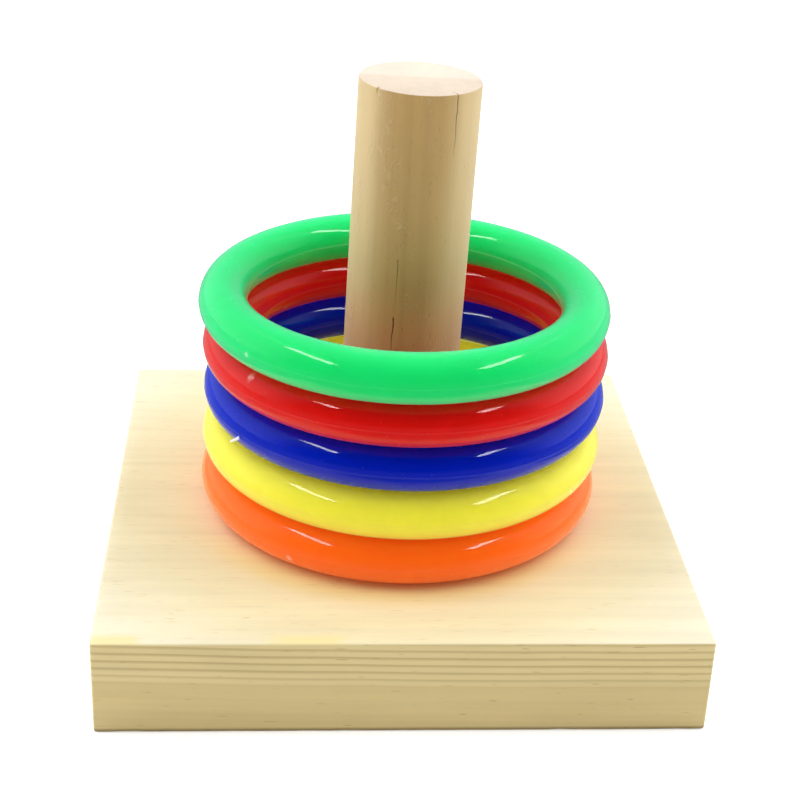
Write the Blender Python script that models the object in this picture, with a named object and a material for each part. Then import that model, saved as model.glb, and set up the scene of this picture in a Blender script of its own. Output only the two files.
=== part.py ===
"""Ring stacker: a square wooden block, an upright wooden peg and five loose plastic rings stacked round it.

Metres, +Z up, +Y towards the back. The origin is the centre of the block's underside.
The peg stands in a shallow socket in the block and is held from below by one countersunk wood screw.
Each ring is a plain round torus that lies on the one below it and lifts straight up off the peg.
"""

import math

import bmesh
import bpy
from mathutils import Matrix, Vector

# Clearance kept between pieces that touch.
GAP = 0.0003

# Block: a square of planed board.
BLOCK_SIDE = 0.100
BLOCK_THICKNESS = 0.0172
BLOCK_EASED_EDGE = 0.0004

# Peg: a length of round dowel that leans a little to the right in its socket.
PEG_DIAMETER = 0.0206
PEG_HEIGHT = 0.0777
PEG_EASED_EDGE = 0.0004
PEG_LEAN = math.radians(1.5)
PEG_SIDES = 64

# Socket bored in the top of the block for the foot of the peg.
SOCKET_DEPTH = 0.006
SOCKET_SLACK = 0.0005

# Countersunk wood screw, driven up through the block into the foot of the peg.
SCREW_LENGTH = 0.030
SCREW_SHANK_DIAMETER = 0.004
SCREW_HEAD_DIAMETER = 0.008
SCREW_HEAD_DEPTH = 0.0022
SCREW_HEAD_RIM = 0.0003
SCREW_SINK = 0.0006
SCREW_POINT_LENGTH = 0.005
SCREW_SIDES = 24
DRIVE_SPAN = 0.0042
DRIVE_WIDTH = 0.0009
DRIVE_DEPTH = 0.0015

# Rings: equal tori, bottom one first. Each has slipped a little sideways from the block's centre.
RING_MEAN_RADIUS = 0.0316
RING_TUBE_RADIUS = 0.0041
RING_SEGMENTS = 48
RING_TUBE_SIDES = 12
RING_PITCH = 2 * RING_TUBE_RADIUS + GAP
RINGS = (
    ("ring_orange", (0.88, 0.13, 0.015), (0.0012, 0.0001)),
    ("ring_yellow", (0.82, 0.74, 0.03), (0.0015, 0.0002)),
    ("ring_blue", (0.006, 0.03, 0.42), (0.0018, 0.0013)),
    ("ring_red", (0.50, 0.012, 0.01), (0.0017, 0.0006)),
    ("ring_green", (0.02, 0.62, 0.13), (0.0011, -0.0009)),
)

WOOD_COLOUR = (0.82, 0.68, 0.42)
DOWEL_COLOUR = (0.56, 0.42, 0.20)
STEEL_COLOUR = (0.62, 0.60, 0.56)

CUT_OVERRUN = 0.001
MERGE_DISTANCE = 0.00001
SHARP_ANGLE = math.radians(30)


def clear_scene():
    for thing in list(bpy.data.objects):
        bpy.data.objects.remove(thing)


def finish_material(name, colour, roughness, metallic=0.0):
    """A Principled material of one colour."""
    material = bpy.data.materials.new(name)
    material.use_nodes = True
    shader = material.node_tree.nodes["Principled BSDF"]
    shader.inputs["Base Color"].default_value = (*colour, 1.0)
    shader.inputs["Roughness"].default_value = roughness
    shader.inputs["Metallic"].default_value = metallic
    material.diffuse_color = (*colour, 1.0)
    return material


def object_from(shape, name, material=None):
    """Turns a bmesh into an object in the scene."""
    mesh = bpy.data.meshes.new(name)
    shape.to_mesh(mesh)
    shape.free()
    thing = bpy.data.objects.new(name, mesh)
    bpy.context.scene.collection.objects.link(thing)
    if material:
        mesh.materials.append(material)
    return thing


def shade_round(thing):
    thing.data.shade_smooth()
    thing.data.set_sharp_from_angle(angle=SHARP_ANGLE)


def box_shape(size):
    """A box of the given size, centred on its own origin."""
    shape = bmesh.new()
    bmesh.ops.create_cube(shape, size=1.0, matrix=Matrix.Diagonal((*size, 1.0)))
    return shape


def turned_shape(outline, sides):
    """Spins an outline of (radius, height) points, listed from the top down, once round Z."""
    shape = bmesh.new()
    points = [shape.verts.new((radius, 0.0, height)) for radius, height in outline]
    for upper, lower in zip(points, points[1:]):
        shape.edges.new((upper, lower))
    spin_round(shape, sides)
    return shape


def spin_round(shape, sides):
    """Spins all of an open or closed outline a full turn round Z and closes it up."""
    bmesh.ops.spin(
        shape,
        geom=shape.verts[:] + shape.edges[:],
        axis=(0.0, 0.0, 1.0),
        cent=(0.0, 0.0, 0.0),
        angle=2 * math.pi,
        steps=sides,
    )
    bmesh.ops.remove_doubles(shape, verts=shape.verts[:], dist=MERGE_DISTANCE)
    bmesh.ops.recalc_face_normals(shape, faces=shape.faces[:])


def cut(thing, cutter):
    """Takes the cutter's shape out of a piece, and keeps the cutter out of the finished object."""
    cutter.hide_render = True
    cutter.display_type = "WIRE"
    modifier = thing.modifiers.new("cut_" + cutter.name, "BOOLEAN")
    modifier.operation = "DIFFERENCE"
    modifier.solver = "EXACT"
    modifier.object = cutter


def make_block():
    """The block, with eased edges, the peg's socket and a countersunk clearance hole for the screw."""
    shape = box_shape((BLOCK_SIDE, BLOCK_SIDE, BLOCK_THICKNESS))
    bmesh.ops.bevel(
        shape, geom=shape.edges[:], offset=BLOCK_EASED_EDGE, segments=2, profile=0.5, affect="EDGES"
    )
    bmesh.ops.translate(shape, verts=shape.verts[:], vec=(0.0, 0.0, BLOCK_THICKNESS / 2))
    block = object_from(shape, "base_block", finish_material("pale_board", WOOD_COLOUR, 0.6))
    cut(block, make_block_cutter())
    return block


def make_block_cutter():
    """Socket, clearance hole and countersink, as one turned shape."""
    socket = PEG_DIAMETER / 2 + SOCKET_SLACK
    hole = SCREW_SHANK_DIAMETER / 2 + GAP
    countersink = SCREW_HEAD_DIAMETER / 2 + GAP
    floor = BLOCK_THICKNESS - SOCKET_DEPTH
    rim = SCREW_SINK + SCREW_HEAD_RIM
    outline = (
        (0.0, BLOCK_THICKNESS + CUT_OVERRUN),
        (socket, BLOCK_THICKNESS + CUT_OVERRUN),
        (socket, floor),
        (hole, floor),
        (hole, rim + SCREW_HEAD_DEPTH),
        (countersink, rim),
        (countersink, -CUT_OVERRUN),
        (0.0, -CUT_OVERRUN),
    )
    return object_from(turned_shape(outline, PEG_SIDES), "block_cutter")


def make_peg(block):
    """The dowel, standing on the socket's floor and leaning to the right."""
    radius = PEG_DIAMETER / 2
    foot = GAP + radius * math.sin(PEG_LEAN)
    top = (SOCKET_DEPTH + PEG_HEIGHT) / math.cos(PEG_LEAN)
    outline = (
        (0.0, top),
        (radius - PEG_EASED_EDGE, top),
        (radius, top - PEG_EASED_EDGE),
        (radius, foot + PEG_EASED_EDGE),
        (radius - PEG_EASED_EDGE, foot),
        (0.0, foot),
    )
    peg = object_from(turned_shape(outline, PEG_SIDES), "peg", finish_material("dowel", DOWEL_COLOUR, 0.6))
    peg.parent = block
    peg.location = (0.0, 0.0, BLOCK_THICKNESS - SOCKET_DEPTH)
    peg.rotation_euler = (0.0, PEG_LEAN, 0.0)
    shade_round(peg)
    cut(peg, make_pilot_cutter())
    return peg


def make_pilot_cutter():
    """The pilot hole for the screw: square to the block, and so a little out of line with the peg."""
    hole = SCREW_SHANK_DIAMETER / 2 + GAP
    end = SCREW_SINK + SCREW_LENGTH + GAP
    foot = BLOCK_THICKNESS - SOCKET_DEPTH - CUT_OVERRUN
    outline = (
        (0.0, end),
        (GAP, end),
        (hole, end - SCREW_POINT_LENGTH),
        (hole, foot),
        (0.0, foot),
    )
    return object_from(turned_shape(outline, SCREW_SIDES), "pilot_cutter")


def make_screw(block):
    """The screw, head down, with a cross recess in its head. The thread is left plain."""
    shank = SCREW_SHANK_DIAMETER / 2
    head = SCREW_HEAD_DIAMETER / 2
    outline = (
        (0.0, SCREW_LENGTH),
        (shank, SCREW_LENGTH - SCREW_POINT_LENGTH),
        (shank, SCREW_HEAD_RIM + SCREW_HEAD_DEPTH),
        (head, SCREW_HEAD_RIM),
        (head, 0.0),
        (0.0, 0.0),
    )
    steel = finish_material("zinc_plated_steel", STEEL_COLOUR, 0.35, metallic=1.0)
    screw = object_from(turned_shape(outline, SCREW_SIDES), "peg_screw", steel)
    screw.parent = block
    screw.location = (0.0, 0.0, SCREW_SINK)
    shade_round(screw)
    for number, turn in enumerate((0.0, math.pi / 2)):
        slot = object_from(
            box_shape((DRIVE_SPAN, DRIVE_WIDTH, 2 * DRIVE_DEPTH)), f"drive_cutter_{number}"
        )
        slot.location = (0.0, 0.0, SCREW_SINK)
        slot.rotation_euler = (0.0, 0.0, turn)
        cut(screw, slot)
    return screw


def ring_shape():
    """A torus: a circle standing at the ring's mean radius, spun round Z."""
    shape = bmesh.new()
    upright = Matrix.Translation((RING_MEAN_RADIUS, 0.0, 0.0)) @ Matrix.Rotation(math.pi / 2, 4, "X")
    bmesh.ops.create_circle(
        shape, segments=RING_TUBE_SIDES, radius=RING_TUBE_RADIUS, matrix=upright, cap_ends=False
    )
    spin_round(shape, RING_SEGMENTS)
    return shape


def make_rings(block):
    """The stack, each ring parented to the one it lies on, with its origin at its own centre."""
    below = block
    below_place = Vector((0.0, 0.0, 0.0))
    for level, (name, colour, slip) in enumerate(RINGS):
        ring = object_from(ring_shape(), name, finish_material(name + "_plastic", colour, 0.2))
        shade_round(ring)
        height = BLOCK_THICKNESS + GAP + RING_TUBE_RADIUS + level * RING_PITCH
        place = Vector((*slip, height))
        ring.parent = below
        ring.location = place - below_place
        below = ring
        below_place = place


clear_scene()
base_block = make_block()
make_peg(base_block)
make_screw(base_block)
make_rings(base_block)
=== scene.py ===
import math
from functools import partial

import bmesh
import bpy
from mathutils import Matrix, Vector, noise


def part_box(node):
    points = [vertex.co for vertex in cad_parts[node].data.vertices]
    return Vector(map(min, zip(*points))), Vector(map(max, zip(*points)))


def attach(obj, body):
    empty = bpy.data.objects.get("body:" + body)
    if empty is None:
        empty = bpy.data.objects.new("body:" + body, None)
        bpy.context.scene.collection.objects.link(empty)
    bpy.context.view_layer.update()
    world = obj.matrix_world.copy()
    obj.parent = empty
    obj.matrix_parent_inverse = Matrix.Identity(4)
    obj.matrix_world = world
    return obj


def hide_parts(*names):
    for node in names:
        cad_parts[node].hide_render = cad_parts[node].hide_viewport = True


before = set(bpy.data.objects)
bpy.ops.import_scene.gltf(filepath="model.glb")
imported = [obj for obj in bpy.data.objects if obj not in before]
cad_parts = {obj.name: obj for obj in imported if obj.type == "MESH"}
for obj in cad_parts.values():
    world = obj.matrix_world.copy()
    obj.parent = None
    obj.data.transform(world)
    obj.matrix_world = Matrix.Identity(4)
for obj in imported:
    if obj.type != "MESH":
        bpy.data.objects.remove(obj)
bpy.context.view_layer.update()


# ---------------------------------------------------------------------------------------------
# Camera. It stands in front of the block, a little to its left, about a third of a metre away,
# and looks down at the rings. The head of the tripod is a little out of level.
CAMERA_PLACE = (-0.0206, -0.2710, 0.1713)
CAMERA_LOOKS_DOWN = math.radians(26.55)
CAMERA_TURNS_RIGHT = math.radians(4.58)
CAMERA_OUT_OF_LEVEL = math.radians(2.57)
CAMERA_LENS_MM = 75.8
CAMERA_CLIP_START = 0.01


def place_camera():
    lens = bpy.data.cameras.new("camera")
    lens.lens = CAMERA_LENS_MM
    lens.clip_start = CAMERA_CLIP_START
    camera = bpy.data.objects.new("camera", lens)
    bpy.context.scene.collection.objects.link(camera)
    turn = Matrix.Rotation(-CAMERA_TURNS_RIGHT, 4, "Z")
    tilt = Matrix.Rotation(math.pi / 2 - CAMERA_LOOKS_DOWN, 4, "X")
    roll = Matrix.Rotation(CAMERA_OUT_OF_LEVEL, 4, "Z")
    camera.matrix_world = Matrix.Translation(CAMERA_PLACE) @ turn @ tilt @ roll
    bpy.context.scene.camera = camera


place_camera()


# ---------------------------------------------------------------------------------------------
# Light tent. White cloth at the sides, at the back and overhead, darker at the front where the
# camera stands. Overhead hang two wide soft lamps and, just below them, two narrow strips that run
# from front to back and only draw the thin highlights. The floor is plain and white.
LAMP_SIDEWAYS = 0.36
LAMP_FRONT = -0.34
LAMP_BACK = 0.48
SOFT_LAMP_HEIGHT = 0.56
SOFT_LAMP_WIDTH = 0.35
SOFT_LAMP_POWER = 1.8
STRIP_HEIGHT = SOFT_LAMP_HEIGHT - 0.02
STRIP_WIDTH = 0.060
STRIP_MIDDLE = 0.03
STRIP_GLOW = 50.0
STRIP_BACK_SHARE = 0.04
# The cloth's brightness in each direction, and how much of it shows in gloss.
TENT_SIDES = 3.0
TENT_BACK = 1.0
TENT_TOP = 0.9
TENT_FRONT = 0.33
TENT_FRONT_IN_GLOSS = 0.05
TENT_IN_GLOSS = 0.35
TENT_OPEN_FROM = -0.55
TENT_OPEN_TO = 0.10
WHITE = (1.0, 1.0, 1.0, 1.0)
FLOOR_SIZE = 6.0
FLOOR_COLOUR = (0.90, 0.90, 0.90, 1.0)
FLOOR_COLOUR_IN_GLOSS = (0.20, 0.20, 0.20, 1.0)
FLOOR_FILL = 0.32
FLOOR_ROUGHNESS = 0.9
FLOOR_GLOSS = 0.1


def add_node(tree, kind, inputs=None, **settings):
    """Adds a node. inputs maps a socket's name or number to a value, or to the output that feeds it."""
    made = tree.nodes.new(kind)
    for name, value in settings.items():
        setattr(made, name, value)
    for name, value in (inputs or {}).items():
        if isinstance(value, bpy.types.NodeSocket):
            tree.links.new(value, made.inputs[name])
        else:
            made.inputs[name].default_value = value
    return made


def math_node(tree, operation, *values):
    return add_node(tree, "ShaderNodeMath", dict(enumerate(values)), operation=operation).outputs[0]


def between(tree, share, start, end):
    """start where share is 0, end where it is 1, and even steps between them."""
    return math_node(tree, "MULTIPLY_ADD", share, end - start, start)


def mix_colour(tree, share, first, second, blend="MIX"):
    """Mixes two colours, which a Mix node takes in at sockets 6 and 7 and gives out at socket 2."""
    sockets = {0: share, 6: first, 7: second}
    return add_node(tree, "ShaderNodeMix", sockets, data_type="RGBA", blend_type=blend).outputs[2]


def light_tent():
    """The tent's brightness blends between its sides, its back or front, and its top."""
    world = bpy.data.worlds.new("light_tent")
    world.use_nodes = True
    tree = world.node_tree
    tree.nodes.clear()
    calc = partial(math_node, tree)
    direction = add_node(tree, "ShaderNodeTexCoord").outputs["Generated"]
    towards = add_node(tree, "ShaderNodeSeparateXYZ", {0: direction}).outputs
    sideways, away, up = (calc("POWER", towards[axis], 2.0) for axis in "XYZ")
    strength = calc("MULTIPLY", sideways, TENT_SIDES)
    strength = calc("MULTIPLY_ADD", away, TENT_BACK, strength)
    strength = calc("MULTIPLY_ADD", up, TENT_TOP, strength)
    ray = add_node(tree, "ShaderNodeLightPath").outputs
    front = between(tree, ray["Is Glossy Ray"], TENT_FRONT, TENT_FRONT_IN_GLOSS)
    covered = add_node(
        tree,
        "ShaderNodeMapRange",
        {"Value": towards["Y"], "From Min": TENT_OPEN_FROM, "From Max": TENT_OPEN_TO, "To Min": front},
        interpolation_type="SMOOTHSTEP",
    ).outputs[0]
    strength = calc("MULTIPLY", strength, covered)
    shown = between(tree, ray["Is Glossy Ray"], 1.0, TENT_IN_GLOSS)
    strength = calc("MULTIPLY", strength, shown)
    cloth = add_node(tree, "ShaderNodeBackground", {"Color": WHITE, "Strength": strength}).outputs[0]
    backdrop = add_node(tree, "ShaderNodeBackground", {"Color": WHITE}).outputs[0]
    both = add_node(tree, "ShaderNodeMixShader", {0: ray["Is Camera Ray"], 1: cloth, 2: backdrop})
    add_node(tree, "ShaderNodeOutputWorld", {"Surface": both.outputs[0]})
    bpy.context.scene.world = world
    bpy.context.scene.view_settings.view_transform = "Standard"


def hang_lamp(name, sideways, height, width, front, back, power):
    """Hangs a lamp that runs from front to back and is turned to face the rings."""
    lamp = bpy.data.lights.new(name, "AREA")
    lamp.shape = "RECTANGLE"
    lamp.size = width
    lamp.size_y = back - front
    lamp.energy = power
    holder = bpy.data.objects.new(name, lamp)
    bpy.context.scene.collection.objects.link(holder)
    aim = Matrix.Rotation(math.atan2(sideways, height), 4, "Y")
    middle = (sideways, (front + back) / 2, height)
    holder.matrix_world = Matrix.Translation(middle) @ aim
    return holder


def hang_lamps(side, sideways):
    """The soft lamp gives the light but shows in no gloss. The strip is bright in front, dim behind."""
    soft_lamp = hang_lamp(
        "soft_lamp_" + side,
        sideways,
        SOFT_LAMP_HEIGHT,
        SOFT_LAMP_WIDTH,
        LAMP_FRONT,
        LAMP_BACK,
        SOFT_LAMP_POWER,
    )
    soft_lamp.visible_glossy = False
    for end, front, back, share in (
        ("front", LAMP_FRONT, STRIP_MIDDLE, 1.0),
        ("back", STRIP_MIDDLE, LAMP_BACK, STRIP_BACK_SHARE),
    ):
        power = STRIP_GLOW * STRIP_WIDTH * (back - front) * share
        name = f"strip_{side}_{end}"
        strip = hang_lamp(name, sideways, STRIP_HEIGHT, STRIP_WIDTH, front, back, power)
        strip.visible_diffuse = False


def white_floor():
    """The floor glows a little towards the camera, so that only a thin shadow shows on it."""
    shape = bmesh.new()
    bmesh.ops.create_grid(shape, x_segments=1, y_segments=1, size=FLOOR_SIZE / 2)
    mesh = bpy.data.meshes.new("floor")
    shape.to_mesh(mesh)
    shape.free()
    paint = bpy.data.materials.new("white_floor")
    paint.use_nodes = True
    tree = paint.node_tree
    shader = tree.nodes["Principled BSDF"]
    ray = add_node(tree, "ShaderNodeLightPath").outputs
    tone = mix_colour(tree, ray["Is Glossy Ray"], FLOOR_COLOUR, FLOOR_COLOUR_IN_GLOSS)
    tree.links.new(tone, shader.inputs["Base Color"])
    fill = math_node(tree, "MULTIPLY", ray["Is Camera Ray"], FLOOR_FILL)
    tree.links.new(fill, shader.inputs["Emission Strength"])
    shader.inputs["Emission Color"].default_value = FLOOR_COLOUR
    shader.inputs["Roughness"].default_value = FLOOR_ROUGHNESS
    shader.inputs["Specular IOR Level"].default_value = FLOOR_GLOSS
    mesh.materials.append(paint)
    floor = bpy.data.objects.new("floor", mesh)
    bpy.context.scene.collection.objects.link(floor)


light_tent()
hang_lamps("left", -LAMP_SIDEWAYS)
hang_lamps("right", LAMP_SIDEWAYS)
white_floor()


# ---------------------------------------------------------------------------------------------
# Block. A square cut from a planed softwood board, sawn across its ends and lightly sanded, with
# its grain from left to right. A socket is bored in the top for the peg, and from below a
# clearance hole and a countersink take the screw.
BLOCK_LOW, BLOCK_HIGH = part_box("base_block")
BLOCK_SIDE = BLOCK_HIGH.x - BLOCK_LOW.x
PEG_RADIUS = (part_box("peg")[1].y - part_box("peg")[0].y) / 2
EDGE_ROUND = 0.00045
EDGE_WEAR = 0.00012
EDGE_WEAR_SIZE = 0.0035
EDGE_TOLERANCE = EDGE_ROUND * 0.01
BLOCK_MESH_STEP = 0.0020
SOCKET_RADIUS = PEG_RADIUS + 0.00030
SOCKET_DEPTH = 0.006
SCREW_HOLE_RADIUS = 0.0023
COUNTERSINK_RADIUS = 0.0043
COUNTERSINK_RIM = 0.0009
COUNTERSINK_DEPTH = 0.0022
BORE_SIDES = 96
CUT_OVERRUN = 0.001
MERGE_DISTANCE = 0.00001

# Wood colours: planed above and below, and sawn at the sides, which are a shade darker, partly
# from the saw and partly as painted shade. The planed faces turn paler and whiter near the
# corners, where no ring lies, as painted glare.
PLANED_EARLY_WOOD = (0.75, 0.660, 0.415, 1.0)
PLANED_LATE_WOOD = (0.62, 0.48, 0.25, 1.0)
SAWN_SHADED_EARLY_WOOD = (0.66, 0.52, 0.240, 1.0)
SAWN_SHADED_LINED_WOOD = (0.70, 0.57, 0.28, 1.0)
SAWN_SHADED_LATE_WOOD = (0.40, 0.28, 0.10, 1.0)
GLARE_PALED_EARLY_WOOD = (0.76, 0.70, 0.52, 1.0)
GLARE_PALED_FROM = 0.045
GLARE_PALED_TO = 0.068
FLAT_FACE = (0.4, 0.8)
# The log's pith ran below and behind the block, and the growth rings climb towards its left end.
# The rings near the top, the lined ones, show much more than those below.
PITH_BELOW = 0.11
PITH_BEHIND = 0.02
GRAIN_CLIMB = 0.0014
GRAIN_CLIMB_BEND = 2.5
LINED_DEPTH = 0.0078
LINED_EDGE = 0.0012
SAWN_RING_STRENGTH = 0.05
LINED_RING_STRENGTH = 0.65
PLANED_RING_SHARE = 0.15
BOARD_GRAIN = {
    "Ring Width": 0.00135,
    "Stripe Strength": 0.06,
    "Fleck Strength": 0.80,
    "Fuzz Strength": 0.12,
    "Fleck Shortness": 0.35,
}
BOARD_GLOSS = 0.35
BOARD_RELIEF = 0.4
GRAIN_RELIEF_DEPTH = 0.00008
# A warm tint on the front half of the top, near the lowest ring, is painted bounce light from it.
BOUNCE_TINT_FULL = 0.0355
BOUNCE_TINT_END = 0.0410
BOUNCE_TINT_FRONT = (-0.012, -0.030)
BOUNCE_TINT = (1.0, 0.97, 0.68, 1.0)
# Two resin streaks end at the front edge: the middle of each, and how far it reaches either way.
STREAKS = ((-0.0125, 0.0070), (-0.0440, 0.0060))
STREAK_DEPTH = 0.0032
STREAK_FULL_DEPTH = STREAK_DEPTH * 0.4
STREAK_FULL_REACH = 0.5
STREAK_RAGGEDNESS = 0.006
STREAK_STRENGTH = 0.7
RESIN = (0.76, 0.64, 0.27, 1.0)
# A thin painted shadow darkens the foot of the sides, where they meet the floor.
PAINTED_SHADOW_HEIGHT = 0.0010
PAINTED_SHADOW_FULL_HEIGHT = PAINTED_SHADOW_HEIGHT * 0.4
PAINTED_SHADOW_TINT = (0.50, 0.46, 0.38, 1.0)

# What the grain is drawn with. Each noise has its size along and across the grain, its detail
# and, for the curly fuzz, its distortion.
WANDER = (0.030, 0.010, 1.0)
WANDER_REACH = 0.0006
LATE_WOOD_RISE = (0.42, 0.86)
LATE_WOOD_END = (0.88, 1.0)
WEAKEST_YEAR = 0.5
STRIPE = (0.080, 0.0016, 2.0)
CLOUD = (0.025, 0.0080, 2.0)
STRIPE_CONTRAST = 3.0
PLAIN_SHADE = 0.94
FIBRE = (0.010, 0.00025, 3.0)
FIBRE_SHADE = 0.08
PIT = (0.0014, 0.00030, 1.0)
PIT_RISE = (0.68, 0.77)
CURL = (0.0030, 0.0020, 1.0, 1.1)
CURL_WIDTH = 0.040
FUZZ_PATCH = (0.010, 0.0045, 2.0)
FUZZ_PATCH_RISE = (0.53, 0.60)
FUZZ_COLOUR = (1.0, 0.93, 0.72, 1.0)
FUZZ_COLOUR_SHARE = 0.22
FUZZ_PALENESS = 0.35
WOOD_ROUGHNESS = 0.42
FIBRE_ROUGHNESS = 0.25
LATE_WOOD_RIDGE = 0.5
FIBRE_RIDGE = 0.6
FUZZ_RIDGE = 2.6
RAGGED_EDGE = (0.004, 0.0006, 2.0)


def add_piece(name, shape):
    """Makes an object at the origin from a bmesh, whose places are already in the frame."""
    mesh = bpy.data.meshes.new(name)
    shape.to_mesh(mesh)
    shape.free()
    piece = bpy.data.objects.new(name, mesh)
    bpy.context.scene.collection.objects.link(piece)
    return piece


def give_material(piece, material):
    """Gives a piece one material in its only slot."""
    piece.data.materials.clear()
    piece.data.materials.append(material)


def spread(low, high, step):
    """Even places from low to high, about a step apart."""
    count = max(1, round((high - low) / step))
    return [low + (high - low) * i / count for i in range(count + 1)]


def rounded_box(low, high):
    """A box with rounded edges, worn a little here and there, as a grid fine enough to show it."""
    shape = bmesh.new()
    place = Matrix.Translation((low + high) / 2) @ Matrix.Diagonal((*(high - low), 1.0))
    bmesh.ops.create_cube(shape, size=1.0, matrix=place)
    for axis in range(3):
        inner = spread(low[axis] + EDGE_ROUND, high[axis] - EDGE_ROUND, BLOCK_MESH_STEP)
        rim = [low[axis] + EDGE_ROUND / 2, high[axis] - EDGE_ROUND / 2]
        normal = Vector((0.0, 0.0, 0.0))
        normal[axis] = 1.0
        for cut in inner + rim:
            everything = shape.verts[:] + shape.edges[:] + shape.faces[:]
            bmesh.ops.bisect_plane(shape, geom=everything, plane_co=normal * cut, plane_no=normal)
    for vertex in shape.verts:
        round_corner(vertex, low, high)
    bmesh.ops.recalc_face_normals(shape, faces=shape.faces[:])
    return shape


def round_corner(vertex, low, high):
    """Moves a vertex near an edge onto the rounded edge, and a little further in where it is worn."""
    core = Vector(
        min(max(vertex.co[i], low[i] + EDGE_ROUND), high[i] - EDGE_ROUND) for i in range(3)
    )
    away = vertex.co - core
    outside = sum(abs(part) > EDGE_TOLERANCE for part in away)
    if outside < 2:
        return
    wear = max(0.0, noise.noise(vertex.co / EDGE_WEAR_SIZE)) * EDGE_WEAR
    vertex.co = core + away.normalized() * (EDGE_ROUND - wear)


def turned(outline, sides):
    """Turns an outline of (radius, height) points round the Z axis into a closed shape."""
    shape = bmesh.new()
    points = [shape.verts.new((radius, 0.0, height)) for radius, height in outline]
    for first, second in zip(points, points[1:]):
        shape.edges.new((first, second))
    bmesh.ops.spin(
        shape,
        geom=shape.verts[:] + shape.edges[:],
        axis=(0.0, 0.0, 1.0),
        cent=(0.0, 0.0, 0.0),
        angle=2 * math.pi,
        steps=sides,
    )
    bmesh.ops.remove_doubles(shape, verts=shape.verts[:], dist=MERGE_DISTANCE)
    bmesh.ops.recalc_face_normals(shape, faces=shape.faces[:])
    return shape


def bake(piece):
    """Turns what the modifiers make into the piece's own mesh."""
    bpy.context.view_layer.update()
    graph = bpy.context.evaluated_depsgraph_get()
    mesh = bpy.data.meshes.new_from_object(piece.evaluated_get(graph))
    piece.modifiers.clear()
    piece.data = mesh


def carve(piece, cutters):
    """Cuts the shapes out of a piece and throws the cutters away."""
    for cutter in cutters:
        boolean = piece.modifiers.new(cutter.name, "BOOLEAN")
        boolean.operation = "DIFFERENCE"
        boolean.object = cutter
    bake(piece)
    for cutter in cutters:
        bpy.data.objects.remove(cutter)


def shade_round(piece, sharp_above=math.radians(35)):
    """Smooths the shading, but leaves an edge that turns by more than sharp_above as a sharp one."""
    piece.data.shade_smooth()
    piece.data.set_sharp_from_angle(angle=sharp_above)


def screw_and_socket_cutter():
    """The peg's socket, the screw's clearance hole and its countersink, in one turned cutter."""
    socket_floor = BLOCK_HIGH.z - SOCKET_DEPTH
    outline = (
        (0.0, BLOCK_HIGH.z + CUT_OVERRUN),
        (SOCKET_RADIUS, BLOCK_HIGH.z + CUT_OVERRUN),
        (SOCKET_RADIUS, socket_floor),
        (SCREW_HOLE_RADIUS, socket_floor),
        (SCREW_HOLE_RADIUS, COUNTERSINK_RIM + COUNTERSINK_DEPTH),
        (COUNTERSINK_RADIUS, COUNTERSINK_RIM),
        (COUNTERSINK_RADIUS, -CUT_OVERRUN),
        (0.0, -CUT_OVERRUN),
    )
    return add_piece("bored_holes", turned(outline, BORE_SIDES))


def new_material(name):
    """A new material, its node tree and its Principled shader."""
    material = bpy.data.materials.new(name)
    material.use_nodes = True
    return material, material.node_tree, material.node_tree.nodes["Principled BSDF"]


def group_tree(name, inputs, outputs):
    """Starts a shader node group with the named sockets."""
    tree = bpy.data.node_groups.new(name, "ShaderNodeTree")
    for socket, kind, value in inputs:
        made = tree.interface.new_socket(socket, in_out="INPUT", socket_type="NodeSocket" + kind)
        made.default_value = value
    for socket, kind in outputs:
        tree.interface.new_socket(socket, in_out="OUTPUT", socket_type="NodeSocket" + kind)
    return tree, tree.nodes.new("NodeGroupInput").outputs, tree.nodes.new("NodeGroupOutput").inputs


def smooth_rise(tree, value, start, end):
    """0 below start, 1 above end, and a smooth rise between them."""
    return add_node(
        tree,
        "ShaderNodeMapRange",
        {"Value": value, "From Min": start, "From Max": end},
        interpolation_type="SMOOTHSTEP",
    ).outputs[0]


def even_noise(tree, place, density, detail, distortion=0.0):
    """Noise of the same size in every direction, with about so many blots to the metre."""
    settings = {"Vector": place, "Scale": density, "Detail": detail, "Distortion": distortion}
    return add_node(tree, "ShaderNodeTexNoise", settings).outputs["Fac"]


def stretched_noise(tree, place, along, across, detail, distortion=0.0):
    """Noise drawn out along the grain. along and across are its sizes in metres."""
    sizes = {0: place, 1: (1 / along, 1 / across, 1 / across)}
    scaled = add_node(tree, "ShaderNodeVectorMath", sizes, operation="MULTIPLY").outputs[0]
    return even_noise(tree, scaled, 1.0, detail, distortion)


def grey(tree, value):
    return add_node(tree, "ShaderNodeCombineColor", {0: value, 1: value, 2: value}).outputs[0]


def relief(tree, shader, height, depth, strength):
    """Feeds the shader's normal from a height, where 1 stands for depth metres."""
    bump = add_node(tree, "ShaderNodeBump", {"Height": height, "Distance": depth, "Strength": strength})
    tree.links.new(bump.outputs[0], shader.inputs["Normal"])


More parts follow.
